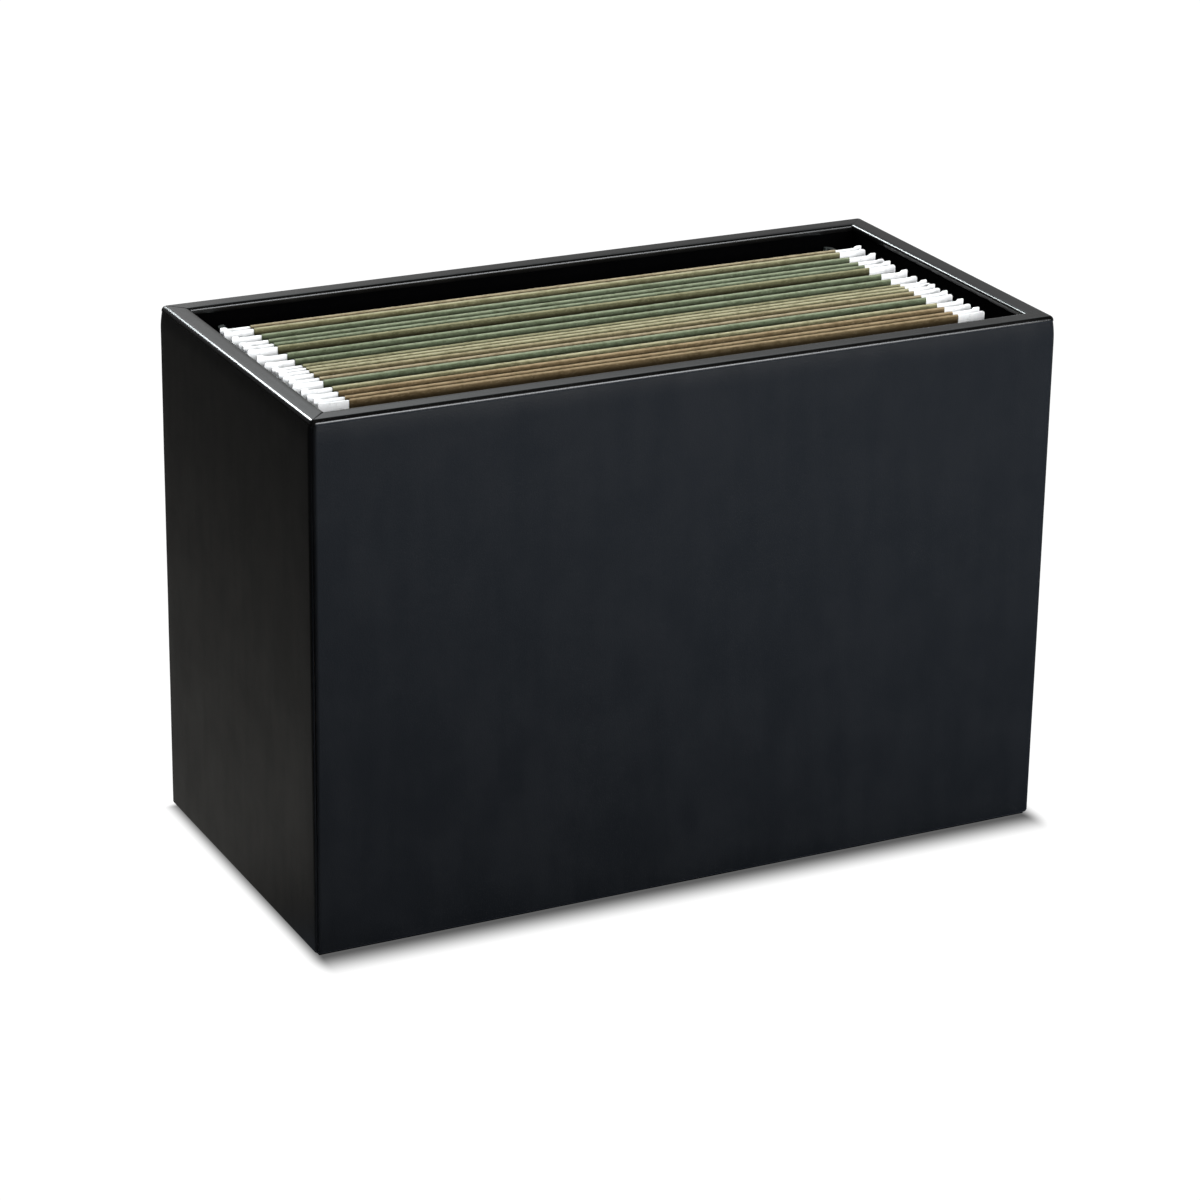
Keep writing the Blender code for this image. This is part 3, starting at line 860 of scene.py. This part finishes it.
def leaf_columns(half_width):
    """Where a leaf's columns lie along X: a regular spread, and the ends of its tab slots."""
    count = 40
    spread = [-half_width + 2 * half_width * n / count for n in range(count + 1)]
    slots = []
    number = int(2 * (half_width - 12 * MM) / TAB_SLOT_PITCH)
    for n in range(number + 1):
        middle = (n - number / 2) * TAB_SLOT_PITCH
        slots += [middle - TAB_SLOT_LENGTH / 2, middle + TAB_SLOT_LENGTH / 2]
    clear = [x for x in spread if all(abs(x - s) > 1.2 * MM for s in slots)]
    return sorted(clear + slots), slots


def make_leaf(number, half, body, slot):
    """One pressboard leaf of a folder. It bows a little, more in the middle than at its hem."""
    node = f"folder_{number}_{half}_leaf"
    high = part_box(node)[1]
    rod_low, rod_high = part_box(f"folder_{number}_{half}_rod")
    side = 1 if half == "rear" else -1
    joint = next(j for j in frame["joints"] if j["name"] == f"folder_{number}_open")
    fold = Vector(joint["pos_m"])
    across = abs((rod_low.y + rod_high.y) / 2 - fold.y)
    height = high.z - fold.z
    path = leaf_path(across, height)
    columns, slots = leaf_columns(high.x)
    seed = 3.1 * number + (1.7 if half == "rear" else 0.0)
    starts = set(slots[::2])
    slot_ups = [height - drop for drop in TAB_SLOT_DROPS]
    outer_last = next(n for n, (out, up) in enumerate(path) if up > height - 1.3 * MM)

    def point(i, j):
        out, up = path[j]
        x = columns[i]
        loose = math.sin(math.pi * min(1, max(0, up) / height))
        bow = 0.10 * wander(x, 0, 0, 120 * MM, seed) + 0.05 * wander(x, 0, 0, 30 * MM, seed + 9)
        bow += 0.9 * loose * wander(x, 0, up, 110 * MM, seed + 4)
        if i in (0, len(columns) - 1):
            x += 0.3 * MM * wander(0, seed, up, 30 * MM, seed)
        sag = 0.12 * MM * wander(x, 0, 0, 90 * MM, seed + 2)
        return x, fold.y + side * (out + bow * MM), fold.z + up + sag * up / height

    def skip(i, j):
        if j >= outer_last or columns[i] not in starts:
            return False
        middle = (path[j][1] + path[j + 1][1]) / 2
        return any(abs(middle - up) < TAB_SLOT_HEIGHT / 4 for up in slot_ups)

    name = f"folder_{number}_{half}_pressboard"
    mesh = grid_mesh(name, len(columns), len(path), point, skip=skip)
    smooth(mesh, 50)
    ob = add_object(name, mesh, MATERIALS[slot])
    low_faces = [p for p in mesh.polygons if p.center.z < fold.z + 150 * MM]
    if sum(p.normal.y * side for p in low_faces) < 0:
        mesh.flip_normals()
    thicken(ob, PAPER)
    fit(ob, body, slot, node)


def slot_of(node):
    """The record's material slot of a CAD node."""
    return next(p["material_slot"] for p in frame["record"]["subparts"] if p["node"] == node)


def make_folders():
    for number in FOLDERS:
        for half, body in (("front", f"folder_{number}_front"), ("rear", f"folder_{number}")):
            make_hanger(number, half, body)
            make_leaf(number, half, body, slot_of(f"folder_{number}_{half}_leaf"))


# The stage, the lights and the camera

def make_floor():
    """A plain pale floor. The camera sees it white, with a painted soft contact shadow round the box,
    and the leather mirrors it as a glowing card that is bright and dark in places."""
    half = 12.0

    def point(i, j):
        return half * (i / 4 - 1), half * (j / 4 - 1), 0

    floor = bpy.data.objects.new("floor", grid_mesh("floor", 9, 9, point))
    bpy.context.scene.collection.objects.link(floor)
    material = bpy.data.materials.new("floor")
    material.use_nodes = True
    tree = material.node_tree
    tree.nodes.clear()
    new = tree.nodes.new
    link = tree.links.new
    out = new("ShaderNodeOutputMaterial")
    paper = new("ShaderNodeBsdfDiffuse")
    paper.inputs["Color"].default_value = (0.85, 0.85, 0.85, 1)
    seen = new("ShaderNodeEmission")
    place = new("ShaderNodeNewGeometry").outputs["Position"]
    split = new("ShaderNodeSeparateXYZ")
    link(place, split.inputs[0])

    def math_node(operation, a, b=0.0):
        node = new("ShaderNodeMath")
        node.operation = operation
        for socket, value in zip(node.inputs, (a, b)):
            if isinstance(value, bpy.types.NodeSocket):
                link(value, socket)
            else:
                socket.default_value = value
        return node.outputs[0]

    def band(value, low, high, to_low, to_high):
        node = new("ShaderNodeMapRange")
        node.interpolation_type = "SMOOTHSTEP"
        link(value, node.inputs["Value"])
        for key, number in zip(RANGE_KEYS, (low, high, to_low, to_high)):
            node.inputs[key].default_value = number
        return node.outputs[0]

    def glow(colour, strength):
        node = new("ShaderNodeEmission")
        node.inputs["Color"].default_value = (*colour, 1)
        link(strength, node.inputs["Strength"])
        return node.outputs[0]

    def both(kind, a, b, share=None):
        node = new(kind)
        if share is not None:
            link(share, node.inputs[0])
        first = len(node.inputs) - 2
        link(a, node.inputs[first])
        link(b, node.inputs[first + 1])
        return node.outputs[0]

    x, y = split.outputs["X"], split.outputs["Y"]
    # The painted contact shadow: how far out from the box's foot, as a share of its reach on that side.
    # On each side it starts a little in under the box, so that it is paler at the foot there.
    sides = (
        (x, 1, HALF_LENGTH, 10 * MM, 3 * MM),
        (x, -1, HALF_LENGTH, 9 * MM, 3 * MM),
        (y, 1, HALF_DEPTH, 5 * MM, 4 * MM),
        (y, -1, HALF_DEPTH, 21 * MM, 0.0),
    )
    far = 0.0
    for value, way, edge, reach, lead in sides:
        beyond = math_node("SUBTRACT", math_node("MULTIPLY", value, way), edge - lead)
        share = math_node("MAXIMUM", math_node("DIVIDE", beyond, reach), 0.0)
        far = math_node("ADD", math_node("MULTIPLY", share, share), far)
    far = math_node("SQRT", far)
    link(band(far, -0.10, 1.0, 0.09, 1.06), seen.inputs["Strength"])

    front = math_node("MULTIPLY", band(y, -0.14, -0.02, 1, 0), band(x, -0.30, -0.12, 0.03, 1))
    front = math_node("MULTIPLY", front, band(x, -0.05, 0.22, 0.49, 0.72))
    front = math_node("MULTIPLY", front, band(y, -0.70, -0.10, 1.08, 0.48))
    beside = math_node("MULTIPLY", band(x, -0.17, -0.13, 1, 0), band(y, -0.12, 0.06, 0.02, 1))
    beside = math_node("MULTIPLY", beside, band(x, -0.46, -0.18, 0.03, 0.27))
    rest = math_node("MULTIPLY", band(x, -0.1, 0.2, 0, 1), band(y, -0.05, 0.1, 0, 0.5))
    cool = glow((0.78, 0.95, 1.22), front)
    warm = glow((1, 0.98, 0.93), beside)
    mirrored = both("ShaderNodeAddShader", cool, warm)
    mirrored = both("ShaderNodeAddShader", mirrored, glow((1, 1, 1), rest))
    rays = new("ShaderNodeLightPath").outputs
    surface = both("ShaderNodeMixShader", paper.outputs[0], mirrored, rays["Is Glossy Ray"])
    surface = both("ShaderNodeMixShader", surface, seen.outputs[0], rays["Is Camera Ray"])
    link(surface, out.inputs[0])
    floor.data.materials.append(material)


# The studio's brightness is the product of these bands: axis, from, to, brightness there and there
STUDIO_BANDS = (
    ("Z", 0.30, 0.60, 1.30, 0.10),
    ("Y", -0.2, 0.5, 0.14, 1.0),
    ("X", -0.40, 0.10, 0.12, 1.0),
    ("X", 0.25, 0.42, 1.0, 0.32),
)


def make_world():
    """White for the camera. For everything else a dim studio with a bright low horizon behind."""
    world = bpy.data.worlds.new("studio")
    bpy.context.scene.world = world
    world.use_nodes = True
    tree = world.node_tree
    tree.nodes.clear()
    new = tree.nodes.new
    link = tree.links.new
    out = new("ShaderNodeOutputWorld")
    white = new("ShaderNodeBackground")
    white.inputs["Strength"].default_value = 1.1
    studio = new("ShaderNodeBackground")
    split = new("ShaderNodeSeparateXYZ")
    link(new("ShaderNodeTexCoord").outputs["Generated"], split.inputs[0])
    strength = None
    for axis, *limits in STUDIO_BANDS:
        band = new("ShaderNodeMapRange")
        band.interpolation_type = "SMOOTHSTEP"
        link(split.outputs[axis], band.inputs["Value"])
        for key, number in zip(RANGE_KEYS, limits):
            band.inputs[key].default_value = number
        if strength is None:
            strength = band.outputs[0]
            continue
        product = new("ShaderNodeMath")
        product.operation = "MULTIPLY"
        link(band.outputs[0], product.inputs[0])
        link(strength, product.inputs[1])
        strength = product.outputs[0]
    link(strength, studio.inputs["Strength"])
    rays = new("ShaderNodeLightPath")
    both = new("ShaderNodeMixShader")
    link(rays.outputs["Is Camera Ray"], both.inputs[0])
    link(studio.outputs[0], both.inputs[1])
    link(white.outputs[0], both.inputs[2])
    link(both.outputs[0], out.inputs[0])


def softbox(name, way, distance, width, height, radiance, colour=(1, 1, 1), diffuse=True,
            glossy=True):
    """An area light that faces the top of the box from the direction way. It can be seen only as
    light on surfaces (diffuse), only as what they mirror (glossy), or as both."""
    target = Vector((0, 0, TOP))
    light = bpy.data.lights.new(name, "AREA")
    light.shape = "RECTANGLE"
    light.size = width
    light.size_y = height
    light.energy = radiance * width * height * math.pi
    light.color = colour
    ob = bpy.data.objects.new(name, light)
    bpy.context.scene.collection.objects.link(ob)
    direction = Vector(way).normalized()
    ob.location = target + direction * distance
    ob.rotation_euler = direction.to_track_quat("Z", "Y").to_euler()
    ob.visible_camera = False
    ob.visible_diffuse = diffuse
    ob.visible_glossy = glossy


def make_lights():
    cool = (0.93, 1.0, 1.02)
    pale = (0.96, 0.99, 1.02)
    softbox("front_key", (0.35, -0.92, 0.27), 1.7, 1.5, 0.50, 20.0, glossy=False)
    softbox("front_shine", (0.36, -0.93, 0.475), 1.67, 0.95, 0.46, 15.5, pale, diffuse=False)
    softbox("low_shine", (0.36, -0.93, 0.17), 1.67, 0.95, 0.34, 3.6, diffuse=False)
    softbox("overhead", (0.02, 0.02, 1.0), 1.6, 0.8, 0.7, 18.0, glossy=False)
    softbox("back_card", (0.171, 0.340, 0.262), 0.462, 0.60, 0.20, 0.58, cool, diffuse=False)
    softbox("back_strip", (-0.088, 0.84, 0.505), 1.9, 0.60, 0.22, 35.0, cool)


def make_camera():
    """The camera orbits a point over the middle of the box's foot, and is moved sideways and down
    a little in its own plane."""
    azimuth = math.radians(-26.63)
    elevation = math.radians(21.41)
    roll = math.radians(0.88)
    distance = 1.8083
    middle = Vector((0, 0, 0.13))
    sideways = 0.00206
    down = 0.02262
    back = Vector((
        math.sin(azimuth) * math.cos(elevation),
        -math.cos(azimuth) * math.cos(elevation),
        math.sin(elevation),
    ))
    level = Vector((math.cos(azimuth), math.sin(azimuth), 0))
    upright = back.cross(level)
    right = math.cos(roll) * level + math.sin(roll) * upright
    up = -math.sin(roll) * level + math.cos(roll) * upright
    place = middle + distance * back - sideways * right - down * up
    camera = bpy.data.cameras.new("camera")
    camera.sensor_width = 36
    camera.lens = 118.26
    camera.clip_end = 100
    ob = bpy.data.objects.new("camera", camera)
    bpy.context.scene.collection.objects.link(ob)
    ob.matrix_world = Matrix.Translation(place) @ Matrix((right, up, back)).transposed().to_4x4()
    bpy.context.scene.camera = ob


def dress_boards():
    """The wall boards and the floor board keep their CAD shape, with a fibreboard finish."""
    for node in ("core_front", "core_back", "core_left", "core_right", "base_board"):
        mesh = frame["nodes"][node].data
        mesh.materials.clear()
        mesh.materials.append(MATERIALS["fibreboard"])


bpy.context.scene.view_settings.view_transform = "Standard"
make_camera()
make_world()
make_lights()
make_floor()
dress_boards()
for side in WALLS:
    make_cover(side)
    make_rim(side)
make_felt()
make_rails()
make_folders()
